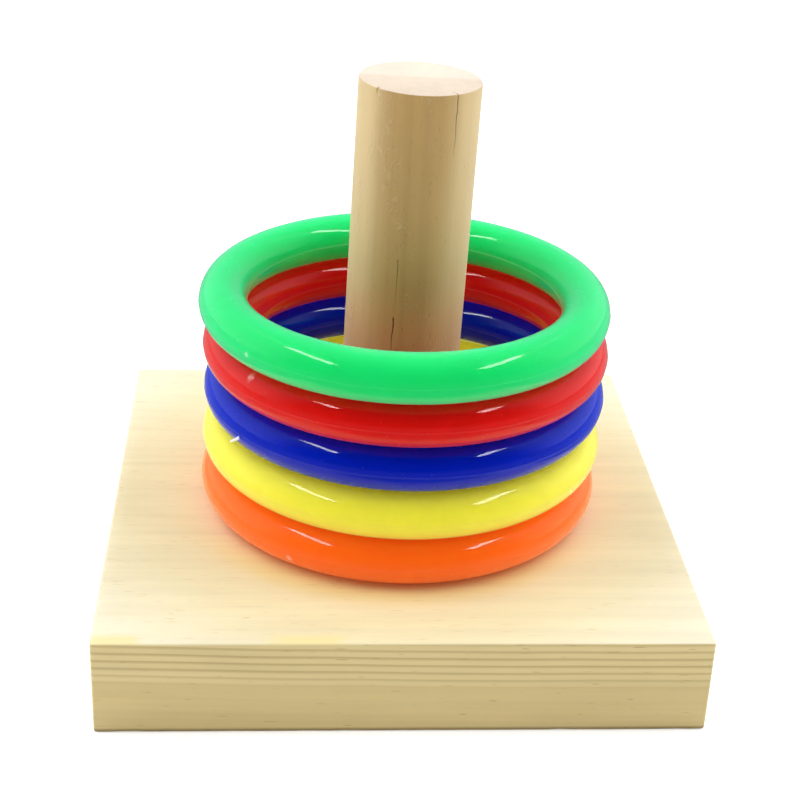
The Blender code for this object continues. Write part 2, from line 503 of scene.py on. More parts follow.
def wood_grain_group():
    """Growth rings round a pith that runs along X, with stripes, fibres, pits and curly fuzz."""
    tree, given, result = group_tree(
        "wood_grain",
        (
            ("Place", "Vector", (0.0, 0.0, 0.0)),
            ("Ring Width", "Float", 0.0013),
            ("Ring Strength", "Float", 0.6),
            ("Stripe Strength", "Float", 0.1),
            ("Fleck Strength", "Float", 0.5),
            ("Fleck Shortness", "Float", 1.0),
            ("Fuzz Strength", "Float", 0.5),
            ("Early Wood", "Color", (0.8, 0.7, 0.5, 1.0)),
            ("Late Wood", "Color", (0.5, 0.4, 0.2, 1.0)),
        ),
        (("Color", "Color"), ("Roughness", "Float"), ("Height", "Float")),
    )
    calc = partial(math_node, tree)
    rise = partial(smooth_rise, tree)
    place = given["Place"]
    # Each growth ring darkens slowly through the year and ends sharply, some years more than others.
    parts = add_node(tree, "ShaderNodeSeparateXYZ", {0: place}).outputs
    squares = [calc("POWER", parts[axis], 2.0) for axis in "YZ"]
    from_pith = calc("SQRT", calc("ADD", *squares))
    wander = stretched_noise(tree, place, *WANDER)
    bent = calc("MULTIPLY_ADD", wander, WANDER_REACH, from_pith)
    years = calc("DIVIDE", bent, given["Ring Width"])
    through_year = calc("FRACT", years)
    darkening = rise(through_year, *LATE_WOOD_RISE)
    ending = calc("SUBTRACT", 1.0, rise(through_year, *LATE_WOOD_END))
    year = calc("FLOOR", years)
    luck = add_node(tree, "ShaderNodeTexWhiteNoise", {"W": year}, noise_dimensions="1D").outputs["Value"]
    late = calc("MULTIPLY", calc("MULTIPLY", darkening, ending), between(tree, luck, WEAKEST_YEAR, 1.0))
    late = calc("MULTIPLY", late, given["Ring Strength"])
    grown = mix_colour(tree, late, given["Early Wood"], given["Late Wood"])
    # Stripes, clouds and fibres shade the wood lighter and darker.
    stripe = stretched_noise(tree, place, *STRIPE)
    cloud = stretched_noise(tree, place, *CLOUD)
    fibre = stretched_noise(tree, place, *FIBRE)
    uneven = calc("MULTIPLY", calc("SUBTRACT", calc("ADD", stripe, cloud), 1.0), STRIPE_CONTRAST)
    shade = calc("MULTIPLY_ADD", uneven, given["Stripe Strength"], PLAIN_SHADE)
    shade = calc("MULTIPLY_ADD", fibre, FIBRE_SHADE, shade)
    shaded = mix_colour(tree, 1.0, grown, grey(tree, shade), "MULTIPLY")
    # Dark pits, and patches of pale fuzz that curls up from the surface.
    closer = add_node(tree, "ShaderNodeCombineXYZ", {0: given["Fleck Shortness"], 1: 1.0, 2: 1.0}).outputs[0]
    flecks = add_node(tree, "ShaderNodeVectorMath", {0: place, 1: closer}, operation="MULTIPLY").outputs[0]
    pit = stretched_noise(tree, flecks, *PIT)
    curl = stretched_noise(tree, flecks, *CURL)
    off_curl = calc("ABSOLUTE", calc("SUBTRACT", curl, 0.5))
    on_curl = calc("SUBTRACT", 1.0, rise(off_curl, 0.0, CURL_WIDTH))
    patch = rise(stretched_noise(tree, place, *FUZZ_PATCH), *FUZZ_PATCH_RISE)
    pits = calc("MULTIPLY", rise(pit, *PIT_RISE), given["Fleck Strength"])
    fuzz = calc("MULTIPLY", calc("MULTIPLY", on_curl, patch), given["Fuzz Strength"])
    flecked = mix_colour(tree, pits, shaded, given["Late Wood"])
    pale = mix_colour(tree, FUZZ_COLOUR_SHARE, given["Early Wood"], FUZZ_COLOUR)
    flecked = mix_colour(tree, calc("MULTIPLY", fuzz, FUZZ_PALENESS), flecked, pale)
    tree.links.new(flecked, result["Color"])
    tree.links.new(calc("MULTIPLY_ADD", fibre, FIBRE_ROUGHNESS, WOOD_ROUGHNESS), result["Roughness"])
    raised = calc("MULTIPLY_ADD", late, LATE_WOOD_RIDGE, calc("MULTIPLY", fibre, FIBRE_RIDGE))
    raised = calc("MULTIPLY_ADD", fuzz, FUZZ_RIDGE, raised)
    tree.links.new(calc("SUBTRACT", raised, pits), result["Height"])
    return tree


WOOD_GRAIN = wood_grain_group()


def board_material():
    """Bare pale softwood, planed above and below and sawn at its sides, which are a shade darker, partly as
    painted shade.
    """
    material, tree, shader = new_material("pale_board")
    calc = partial(math_node, tree)
    rise = partial(smooth_rise, tree)
    mix = partial(mix_colour, tree)
    sources = add_node(tree, "ShaderNodeTexCoord").outputs
    parts = add_node(tree, "ShaderNodeSeparateXYZ", {0: sources["Object"]}).outputs
    faces = add_node(tree, "ShaderNodeSeparateXYZ", {0: sources["Normal"]}).outputs
    planed = rise(calc("ABSOLUTE", faces["Z"]), *FLAT_FACE)
    on_top = rise(faces["Z"], *FLAT_FACE)
    level = add_node(tree, "ShaderNodeCombineXYZ", {0: parts["X"], 1: parts["Y"]}).outputs[0]
    from_middle = add_node(tree, "ShaderNodeVectorMath", {0: level}, operation="LENGTH").outputs["Value"]
    to_left = calc("DIVIDE", calc("SUBTRACT", BLOCK_HIGH.x, parts["X"]), BLOCK_SIDE)
    height = calc("MULTIPLY_ADD", calc("POWER", to_left, GRAIN_CLIMB_BEND), -GRAIN_CLIMB, parts["Z"])
    from_pith = {
        0: parts["X"],
        1: calc("ADD", parts["Y"], PITH_BEHIND),
        2: calc("ADD", height, PITH_BELOW),
    }
    grown = add_node(tree, "ShaderNodeCombineXYZ", from_pith).outputs[0]
    lined_from = BLOCK_HIGH.z - LINED_DEPTH
    lined = rise(height, lined_from - LINED_EDGE, lined_from)
    side_strength = between(tree, lined, SAWN_RING_STRENGTH, LINED_RING_STRENGTH)
    ring_strength = calc("MULTIPLY", side_strength, between(tree, planed, 1.0, PLANED_RING_SHARE))
    # Painted glare: the planed wood turns paler and whiter towards the corners.
    glare_paled = rise(from_middle, GLARE_PALED_FROM, GLARE_PALED_TO)
    planed_wood = mix(glare_paled, PLANED_EARLY_WOOD, GLARE_PALED_EARLY_WOOD)
    # The sawn sides take a darker copy of the wood, partly painted shade.
    sawn_shaded_wood = mix(lined, SAWN_SHADED_EARLY_WOOD, SAWN_SHADED_LINED_WOOD)
    grain = add_node(tree, "ShaderNodeGroup", BOARD_GRAIN, node_tree=WOOD_GRAIN)
    tree.links.new(grown, grain.inputs["Place"])
    tree.links.new(ring_strength, grain.inputs["Ring Strength"])
    tree.links.new(mix(planed, sawn_shaded_wood, planed_wood), grain.inputs["Early Wood"])
    tree.links.new(mix(planed, SAWN_SHADED_LATE_WOOD, PLANED_LATE_WOOD), grain.inputs["Late Wood"])

    # Painted warm bounce light from the lowest ring, on the front half of the top.
    bounce_tinted = calc("SUBTRACT", 1.0, rise(from_middle, BOUNCE_TINT_FULL, BOUNCE_TINT_END))
    bounce_tinted = calc("MULTIPLY", bounce_tinted, rise(parts["Y"], *BOUNCE_TINT_FRONT))
    toned = mix(calc("MULTIPLY", bounce_tinted, on_top), grain.outputs["Color"], BOUNCE_TINT, "MULTIPLY")
    at_edge = rise(parts["Y"], BLOCK_LOW.y + STREAK_DEPTH, BLOCK_LOW.y + STREAK_FULL_DEPTH)
    ragged = stretched_noise(tree, sources["Object"], *RAGGED_EDGE)
    ragged = calc("MULTIPLY_ADD", ragged, STREAK_RAGGEDNESS, parts["X"])
    for middle, reach in STREAKS:
        off = calc("ABSOLUTE", calc("SUBTRACT", ragged, middle))
        streak = calc("MULTIPLY", rise(off, reach, reach * STREAK_FULL_REACH), at_edge)
        streak = calc("MULTIPLY", streak, on_top)
        toned = mix(calc("MULTIPLY", streak, STREAK_STRENGTH), toned, RESIN)
    # Painted shadow along the foot of the sides.
    painted_shadow = calc("SUBTRACT", 1.0, rise(parts["Z"], PAINTED_SHADOW_FULL_HEIGHT, PAINTED_SHADOW_HEIGHT))
    painted_shadow = calc("MULTIPLY", painted_shadow, calc("SUBTRACT", 1.0, planed))
    toned = mix(painted_shadow, toned, PAINTED_SHADOW_TINT, "MULTIPLY")
    tree.links.new(toned, shader.inputs["Base Color"])
    tree.links.new(grain.outputs["Roughness"], shader.inputs["Roughness"])
    relief(tree, shader, grain.outputs["Height"], GRAIN_RELIEF_DEPTH, BOARD_RELIEF)
    shader.inputs["Specular IOR Level"].default_value = BOARD_GLOSS
    return material


def make_block():
    block = add_piece("planed_block", rounded_box(BLOCK_LOW, BLOCK_HIGH))
    carve(block, [screw_and_socket_cutter()])
    shade_round(block)
    give_material(block, board_material())
    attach(block, "base")
    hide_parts("base_block")


make_block()


# ---------------------------------------------------------------------------------------------
# Peg. A length of round dowel, sawn square and lightly eased at both ends, that stands in the
# block's socket and leans a little to the right. It has dried out enough to open three fine
# checks along the grain, and a chip is missing from its upper rim.
PEG_LEAN = math.radians(1.5)
PEG_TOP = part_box("peg")[1].z
PEG_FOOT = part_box("peg")[0].z
PEG_PIVOT = BLOCK_HIGH.z - SOCKET_DEPTH
PEG_EASE = 0.00035
PEG_EASE_BEND = PEG_EASE * 0.3
PEG_SIDES = 256
PEG_STEP = 0.0010
SCREW_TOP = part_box("peg_screw")[1].z
PILOT_CLEARANCE = 0.0003
PILOT_TIP_RADIUS = 0.0003
PILOT_TIP_LENGTH = 0.005
PILOT_SIDES = 32
CHECKS = (
    # angle from the front towards the right, top, bottom, widest opening, depth
    (math.radians(32), PEG_TOP + CUT_OVERRUN, PEG_TOP - 0.0115, 0.00030, 0.0025),
    (math.radians(-15), 0.0560, 0.0490, 0.00048, 0.0016),
    (math.radians(-14), 0.0665, 0.0562, 0.00018, 0.0012),
    (math.radians(-47), PEG_TOP + CUT_OVERRUN, PEG_TOP - 0.0014, 0.00090, 0.0016),
)
CHECK_STEPS = 12
CHECK_TAPER = 0.6
CHECK_POINT_WIDTH = 0.00003
CHECK_POINT_DEPTH = 0.2
CHECK_DRIFT = 0.0002
CHECK_DRIFT_LENGTH = 0.003
CHECK_SPACING = 7.0

DOWEL_EARLY_WOOD = (0.44, 0.275, 0.083, 1.0)
DOWEL_LATE_WOOD = (0.26, 0.15, 0.04, 1.0)
DOWEL_PITH_X = -0.030
DOWEL_PITH_Y = 0.020
DOWEL_GRAIN = {
    "Ring Width": 0.0024,
    "Ring Strength": 0.08,
    "Stripe Strength": 0.06,
    "Fleck Strength": 0.60,
    "Fuzz Strength": 0.60,
}
DOWEL_RELIEF = 0.5
DOWEL_GLOSS = 0.5
DOWEL_SHEEN = 0.45
DOWEL_SHEEN_ROUGHNESS = 0.5
DOWEL_SHEEN_TINT = (1.0, 0.95, 0.78, 1.0)
# A band of the dowel, down where the rings lie, is a redder brown.
REDDER_BAND_FROM = 0.046
REDDER_BAND_TO = 0.066
REDDER_BAND_ABOVE = 0.036
PLAIN_BELOW = 0.022
DOWEL_REDDER_WOOD = (0.70, 0.33, 0.11, 1.0)
# The sawn ends are paler, with a faint step across the middle where the saw came through.
END_FACE = (0.5, 0.9)
SAW_STEP = (0.0012, 0.0)
DOWEL_END_WOOD = (0.65, 0.545, 0.455, 1.0)
DOWEL_END_STEP_WOOD = (0.585, 0.475, 0.375, 1.0)
DOWEL_END_LATE_WOOD = (0.56, 0.45, 0.35, 1.0)
# A painted sheen makes the dowel paler where it is seen edge-on.
DOWEL_PAINTED_SHEEN_WOOD = (0.95, 0.82, 0.50, 1.0)
DOWEL_SHEEN_FACING = (0.06, 0.36)
DOWEL_PAINTED_SHEEN_SHARE = 0.22


def peg_outline():
    """The peg's section, from the top down, in its own upright frame, with its pivot at height 0."""
    low_corner = PEG_RADIUS * math.sin(PEG_LEAN)
    top = (PEG_TOP - PEG_PIVOT - low_corner) / math.cos(PEG_LEAN)
    foot = (PEG_FOOT - PEG_PIVOT + low_corner) / math.cos(PEG_LEAN)
    side = spread(top - PEG_EASE, foot + PEG_EASE, PEG_STEP)
    outline = [
        (0.0, top),
        (PEG_RADIUS - PEG_EASE, top),
        (PEG_RADIUS - PEG_EASE_BEND, top - PEG_EASE_BEND),
    ]
    outline += [(PEG_RADIUS, height) for height in side]
    outline += [
        (PEG_RADIUS - PEG_EASE_BEND, foot + PEG_EASE_BEND),
        (PEG_RADIUS - PEG_EASE, foot),
        (0.0, foot),
    ]
    return outline


def lean_peg():
    """From the peg's upright frame to where it stands."""
    return Matrix.Translation((0.0, 0.0, PEG_PIVOT)) @ Matrix.Rotation(PEG_LEAN, 4, "Y")


def check_cutter(number, angle, top, bottom, opening, depth):
    """A thin blade that opens a check: pointed at its lower end and at its inner edge."""
    shape = bmesh.new()
    outward = Vector((math.sin(angle), -math.cos(angle), 0.0))
    sideways = Vector((math.cos(angle), math.sin(angle), 0.0))
    rows = []
    for i in range(CHECK_STEPS + 1):
        share = i / CHECK_STEPS
        height = (top + (bottom - top) * share) - PEG_PIVOT
        half_width = (opening * (1 - share) ** CHECK_TAPER + CHECK_POINT_WIDTH) / 2
        wave = noise.noise((0.0, number * CHECK_SPACING, height / CHECK_DRIFT_LENGTH))
        drift = sideways * wave * CHECK_DRIFT
        inner = outward * (PEG_RADIUS - depth * (1 - share * (1 - CHECK_POINT_DEPTH))) + drift
        outer = outward * (PEG_RADIUS + CUT_OVERRUN) + drift
        corners = (inner, outer + sideways * half_width, outer - sideways * half_width)
        rows.append([shape.verts.new((place.x, place.y, height)) for place in corners])
    for above, below in zip(rows, rows[1:]):
        for first, second in ((0, 1), (1, 2), (2, 0)):
            shape.faces.new((above[first], above[second], below[second], below[first]))
    shape.faces.new(rows[0])
    shape.faces.new(reversed(rows[-1]))
    bmesh.ops.recalc_face_normals(shape, faces=shape.faces[:])
    return add_piece(f"check_{number}", shape)


def pilot_cutter():
    """The pilot hole for the screw, square to the block."""
    end = SCREW_TOP + PILOT_CLEARANCE
    outline = (
        (0.0, end),
        (PILOT_TIP_RADIUS, end),
        (SCREW_HOLE_RADIUS, end - PILOT_TIP_LENGTH),
        (SCREW_HOLE_RADIUS, PEG_FOOT - CUT_OVERRUN),
        (0.0, PEG_FOOT - CUT_OVERRUN),
    )
    cutter = add_piece("pilot_hole", turned(outline, PILOT_SIDES))
    cutter.data.transform(lean_peg().inverted())
    return cutter


def dowel_material():
    """Bare dowel, browner than the board, with pale sawn ends, a redder band down where the rings lie, and a
    painted sheen where it is seen edge-on.
    """
    material, tree, shader = new_material("round_dowel")
    calc = partial(math_node, tree)
    rise = partial(smooth_rise, tree)
    mix = partial(mix_colour, tree)
    sources = add_node(tree, "ShaderNodeTexCoord").outputs
    parts = add_node(tree, "ShaderNodeSeparateXYZ", {0: sources["Object"]}).outputs
    faces = add_node(tree, "ShaderNodeSeparateXYZ", {0: sources["Normal"]}).outputs
    sawn_end = rise(calc("ABSOLUTE", faces["Z"]), *END_FACE)
    from_pith = {
        0: parts["Z"],
        1: calc("ADD", parts["X"], -DOWEL_PITH_X),
        2: calc("ADD", parts["Y"], -DOWEL_PITH_Y),
    }
    grown = add_node(tree, "ShaderNodeCombineXYZ", from_pith).outputs[0]
    redder_band = rise(parts["Z"], REDDER_BAND_TO, REDDER_BAND_FROM)
    redder_band = calc("MULTIPLY", redder_band, rise(parts["Z"], PLAIN_BELOW, REDDER_BAND_ABOVE))
    side_wood = mix(redder_band, DOWEL_EARLY_WOOD, DOWEL_REDDER_WOOD)
    end_wood = mix(rise(parts["Y"], *SAW_STEP), DOWEL_END_WOOD, DOWEL_END_STEP_WOOD)
    grain = add_node(tree, "ShaderNodeGroup", DOWEL_GRAIN, node_tree=WOOD_GRAIN)
    tree.links.new(grown, grain.inputs["Place"])
    tree.links.new(mix(sawn_end, side_wood, end_wood), grain.inputs["Early Wood"])
    tree.links.new(mix(sawn_end, DOWEL_LATE_WOOD, DOWEL_END_LATE_WOOD), grain.inputs["Late Wood"])
    # Painted sheen: the dowel turns paler where it is seen edge-on.
    edge_on_sheen = add_node(tree, "ShaderNodeLayerWeight", {"Blend": 0.5}).outputs["Facing"]
    edge_on_sheen = calc("MULTIPLY", rise(edge_on_sheen, *DOWEL_SHEEN_FACING), DOWEL_PAINTED_SHEEN_SHARE)
    edge_on_sheen = calc("MULTIPLY", edge_on_sheen, calc("SUBTRACT", 1.0, sawn_end))
    tree.links.new(mix(edge_on_sheen, grain.outputs["Color"], DOWEL_PAINTED_SHEEN_WOOD), shader.inputs["Base Color"])
    tree.links.new(grain.outputs["Roughness"], shader.inputs["Roughness"])
    relief(tree, shader, grain.outputs["Height"], GRAIN_RELIEF_DEPTH, DOWEL_RELIEF)
    shader.inputs["Specular IOR Level"].default_value = DOWEL_GLOSS
    shader.inputs["Sheen Weight"].default_value = DOWEL_SHEEN
    shader.inputs["Sheen Roughness"].default_value = DOWEL_SHEEN_ROUGHNESS
    shader.inputs["Sheen Tint"].default_value = DOWEL_SHEEN_TINT
    return material


def make_peg():
    peg = add_piece("dowel_peg", turned(peg_outline(), PEG_SIDES))
    checks = [check_cutter(number, *check) for number, check in enumerate(CHECKS)]
    carve(peg, checks + [pilot_cutter()])
    peg.data.transform(lean_peg())
    shade_round(peg)
    give_material(peg, dowel_material())
    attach(peg, "base")
    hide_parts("peg")


make_peg()


# ---------------------------------------------------------------------------------------------
# Screw. A zinc-plated wood screw with a countersunk head and a cross recess, rolled from wire. It
# goes in from below, through the block and up into the dowel, and its head sits just under flush.
SCREW_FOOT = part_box("peg_screw")[0].z
SCREW_SIDES = 64
SCREW_EDGE = 0.0001
HEAD_RADIUS = 0.0040
HEAD_RIM = 0.0003
HEAD_DEPTH = 0.0022
NECK_LENGTH = 0.0004
NECK_FLARE = 0.0003
SHANK_RADIUS = 0.0018
SHANK_LENGTH = 0.0095
SHANK_TAPER = 0.0006
CORE_RADIUS = 0.0013
POINT_LENGTH = 0.005
THREAD_PITCH = 0.0018
THREAD_HEIGHT = 0.0006
THREAD_STEPS = 28
THREAD_RUN_OUT = 0.06
THREAD_THINNEST = 0.00002
RECESS_SPAN = 0.0042
RECESS_WIDTH = 0.0009
RECESS_DEPTH = 0.0015
RECESS_INNER_SPAN = 0.45
RECESS_INNER_WIDTH = 0.6
RECESS_TURN = math.radians(20)

ZINC = (0.68, 0.67, 0.62, 1.0)
ZINC_DULL = (0.46, 0.44, 0.38, 1.0)
# Each noise has its blots to the metre, its detail and its distortion.
ZINC_PATCHES = (900.0, 4.0)
ZINC_DULL_RISE = (0.42, 0.62)
ZINC_SCRATCHES = (3500.0, 2.0, 2.0)
ZINC_ROUGHNESS = 0.12
ZINC_PATCH_ROUGHNESS = 0.35
ZINC_SCRATCH_ROUGHNESS = 0.12
ZINC_SCRATCH_DEPTH = 0.00002
ZINC_RELIEF = 0.4


def screw_outline():
    return (
        (0.0, SCREW_TOP),
        (SCREW_EDGE, SCREW_TOP - SCREW_EDGE),
        (CORE_RADIUS, SCREW_TOP - POINT_LENGTH),
        (CORE_RADIUS, SCREW_FOOT + SHANK_LENGTH + SHANK_TAPER),
        (SHANK_RADIUS, SCREW_FOOT + SHANK_LENGTH),
        (SHANK_RADIUS, SCREW_FOOT + HEAD_DEPTH + NECK_LENGTH),
        (SHANK_RADIUS + NECK_FLARE, SCREW_FOOT + HEAD_DEPTH),
        (HEAD_RADIUS, SCREW_FOOT + HEAD_RIM),
        (HEAD_RADIUS, SCREW_FOOT + SCREW_EDGE),
        (HEAD_RADIUS - SCREW_EDGE, SCREW_FOOT),
        (0.0, SCREW_FOOT),
    )


def recess_blade(turn):
    """One of the two crossed blades of the recess, which taper inwards to a blunt point."""
    shape = bmesh.new()
    bmesh.ops.create_cube(shape, size=1.0)
    for vertex in shape.verts:
        inner = vertex.co.z > 0
        span = RECESS_SPAN * (RECESS_INNER_SPAN if inner else 1.0)
        width = RECESS_WIDTH * (RECESS_INNER_WIDTH if inner else 1.0)
        height = SCREW_FOOT + (RECESS_DEPTH if inner else -CUT_OVERRUN / 4)
        vertex.co = Vector((vertex.co.x * span, vertex.co.y * width, height))
    bmesh.ops.rotate(shape, verts=shape.verts, matrix=Matrix.Rotation(turn, 3, "Z"))
    return add_piece("recess_blade", shape)


def shape_tree(name, sizes):
    """Starts a Geometry Nodes tree with the named inputs, and gives its tree and what they feed."""
    tree = bpy.data.node_groups.new(name, "GeometryNodeTree")
    tree.interface.new_socket("Geometry", in_out="OUTPUT", socket_type="NodeSocketGeometry")
    for socket, kind in sizes:
        tree.interface.new_socket(socket, in_out="INPUT", socket_type="NodeSocket" + kind)
    return tree, tree.nodes.new("NodeGroupInput").outputs


def finish_tree(tree, geometry, material):
    """Ends a Geometry Nodes tree: real faces, in the given material."""
    real = add_node(tree, "GeometryNodeRealizeInstances", {"Geometry": geometry}).outputs[0]
    coated = add_node(tree, "GeometryNodeSetMaterial", {"Geometry": real, "Material": material}).outputs[0]
    tree.links.new(coated, tree.nodes.new("NodeGroupOutput").inputs["Geometry"])
    return tree


def thread_tree():
    """A screw thread: a sharp rib that winds up the core and runs out at both ends."""
    tree, given = shape_tree(
        "screw_thread",
        (
            ("Geometry", "Geometry"),
            ("Core Radius", "Float"),
            ("Bottom", "Float"),
            ("Length", "Float"),
            ("Pitch", "Float"),
            ("Rib Height", "Float"),
            ("Steel", "Material"),
        ),
    )
    calc = partial(math_node, tree)
    coil = add_node(
        tree,
        "GeometryNodeCurveSpiral",
        {
            "Resolution": THREAD_STEPS,
            "Rotations": calc("DIVIDE", given["Length"], given["Pitch"]),
            "Start Radius": given["Core Radius"],
            "End Radius": given["Core Radius"],
            "Height": given["Length"],
        },
    ).outputs[0]
    raised = add_node(tree, "ShaderNodeCombineXYZ", {2: given["Bottom"]}).outputs[0]
    placed = add_node(tree, "GeometryNodeSetPosition", {"Geometry": coil, "Offset": raised}).outputs[0]
    along = add_node(tree, "GeometryNodeSplineParameter").outputs["Factor"]
    from_end = calc("MINIMUM", calc("SUBTRACT", 1.0, along), along)
    full = smooth_rise(tree, from_end, 0.0, THREAD_RUN_OUT)
    reach = calc("MULTIPLY_ADD", full, given["Rib Height"], THREAD_THINNEST)
    rib = add_node(tree, "GeometryNodeCurvePrimitiveCircle", {"Resolution": 4, "Radius": 1.0}).outputs[0]
    sweep = {"Curve": placed, "Profile Curve": rib, "Fill Caps": True, "Scale": reach}
    swept = add_node(tree, "GeometryNodeCurveToMesh", sweep).outputs[0]
    both = add_node(tree, "GeometryNodeJoinGeometry")
    tree.links.new(given["Geometry"], both.inputs[0])
    tree.links.new(swept, both.inputs[0])
    return finish_tree(tree, both.outputs[0], given["Steel"])


def set_inputs(modifier, values):
    """Sets a Geometry Nodes modifier's inputs, named in values, by their sockets' identifiers."""
    for socket in modifier.node_group.interface.items_tree:
        if socket.name in values:
            modifier[socket.identifier] = values[socket.name]


def zinc_material():
    """Plated steel, dulled in patches and finely scratched."""
    material, tree, shader = new_material("zinc_plate")
    place = add_node(tree, "ShaderNodeTexCoord").outputs["Object"]
    patches = even_noise(tree, place, *ZINC_PATCHES)
    scratches = even_noise(tree, place, *ZINC_SCRATCHES)
    plated = mix_colour(tree, smooth_rise(tree, patches, *ZINC_DULL_RISE), ZINC, ZINC_DULL)
    tree.links.new(plated, shader.inputs["Base Color"])
    rough = math_node(tree, "MULTIPLY_ADD", patches, ZINC_PATCH_ROUGHNESS, ZINC_ROUGHNESS)
    rough = math_node(tree, "MULTIPLY_ADD", scratches, ZINC_SCRATCH_ROUGHNESS, rough)
    tree.links.new(rough, shader.inputs["Roughness"])
    relief(tree, shader, scratches, ZINC_SCRATCH_DEPTH, ZINC_RELIEF)
    shader.inputs["Metallic"].default_value = 1.0
    return material


def make_screw():
    screw = add_piece("countersunk_screw", turned(screw_outline(), SCREW_SIDES))
    carve(screw, [recess_blade(RECESS_TURN), recess_blade(RECESS_TURN + math.pi / 2)])
    zinc = zinc_material()
    give_material(screw, zinc)
    shade_round(screw)
    thread = screw.modifiers.new("thread", "NODES")
    thread.node_group = thread_tree()
    set_inputs(thread, {
        "Core Radius": CORE_RADIUS,
        "Bottom": SCREW_FOOT + SHANK_LENGTH,
        "Length": SCREW_TOP - POINT_LENGTH - (SCREW_FOOT + SHANK_LENGTH),
        "Pitch": THREAD_PITCH,
        "Rib Height": THREAD_HEIGHT,
        "Steel": zinc,
    })
    bake(screw)
    give_material(screw, zinc)
    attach(screw, "base")
    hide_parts("peg_screw")


make_screw()


# ---------------------------------------------------------------------------------------------
# Rings. Glossy plastic, moulded in two halves, so each has a fine raised seam round its middle,
# outside and in, and the stub of the gate that it was filled through. All five come from one
# mould shape, and lie loose on each other.
RING_TUBE_RADIUS = 0.0042
RING_STEPS_AROUND = 288
RING_STEPS_ACROSS = 64
RING_MERGE_DISTANCE = 0.000002
GATE_CROWDING = 0.88
SEAM_CROWDING = 0.42
SEAM_HEIGHT = 0.00005
SEAM_WIDTH = 0.00012
STUB_STEEPNESS = 6.0
# Each ring's glow makes it give out painted light, though it is no lamp. Its edge colour is a painted sheen.
RINGS = {
    # Each gate has an angle round the ring and one round the tube, each stub a length and a width.
    "green": {
        "colour": (0.008, 0.54, 0.130),
        "edge_sheen_colour": (0.20, 0.68, 0.60),
        "painted_glow": 0.0,
        "inner_seam": 0.18,
        "gate": (math.radians(-139), 0.0),
        "stub": (0.00010, 0.00038),
    },
    "red": {
        "colour": (0.59, 0.006, 0.004),
        "edge_sheen_colour": (0.75, 0.16, 0.16),
        "painted_glow": 0.0,
        "inner_seam": 0.04,
        "gate": (math.radians(-141), 0.75),
        "stub": (0.00030, 0.00055),
    },
    "blue": {
        "colour": (0.0004, 0.010, 0.38),
        "edge_sheen_colour": (0.02, 0.09, 0.75),
        "painted_glow": 0.0,
        "inner_seam": 0.04,
        "gate": (math.radians(-144), -0.12),
        "stub": (0.00200, 0.00020),
    },
    "yellow": {
        "colour": (0.88, 0.83, 0.050),
        "edge_sheen_colour": (0.95, 0.93, 0.40),
        "painted_glow": 0.0,
        "inner_seam": 0.04,
        "gate": (math.radians(-39), -0.2),
        "stub": (0.00030, 0.00050),
    },
    "orange": {
        "colour": (0.88, 0.113, 0.006),
        "edge_sheen_colour": (0.95, 0.40, 0.20),
        "painted_glow": 0.20,
        "inner_seam": 0.04,
        "gate": (math.radians(-124), -0.3),
        "stub": (0.00020, 0.00050),
    },
}

PLASTIC_GLOSS = 0.28
PLASTIC_GLOW = 1.0
PLASTIC_GLOW_DEPTH = 0.015
# How much a painted sheen pales the plastic where it is seen edge-on.
PLASTIC_EDGE_SHEEN = 0.30
PLASTIC_ROUGHNESS = 0.035
# Where the plastic turns white: the share of white, and how white it gets in full.
WHITENED = 0.55
SEAM_WHITENESS = 0.02
STUB_WHITENESS = 0.40
INNER_WALL = (0.0, -0.015)
# Each noise has its blots to the metre, its detail and its distortion.
FLOW = (90.0, 2.0, 1.5)
FLOW_SHADE = (0.93, 1.07)
FLOW_ROUGHNESS = 0.03
DUST = (2600.0, 0.0)
DUST_RISE = (0.80, 0.86)
DUST_ROUGHNESS = 0.3
SEAM_ROUGHNESS = 0.15
RIPPLE = (450.0, 1.0)
RIPPLE_DEPTH = 0.00002
RIPPLE_RELIEF = 0.4


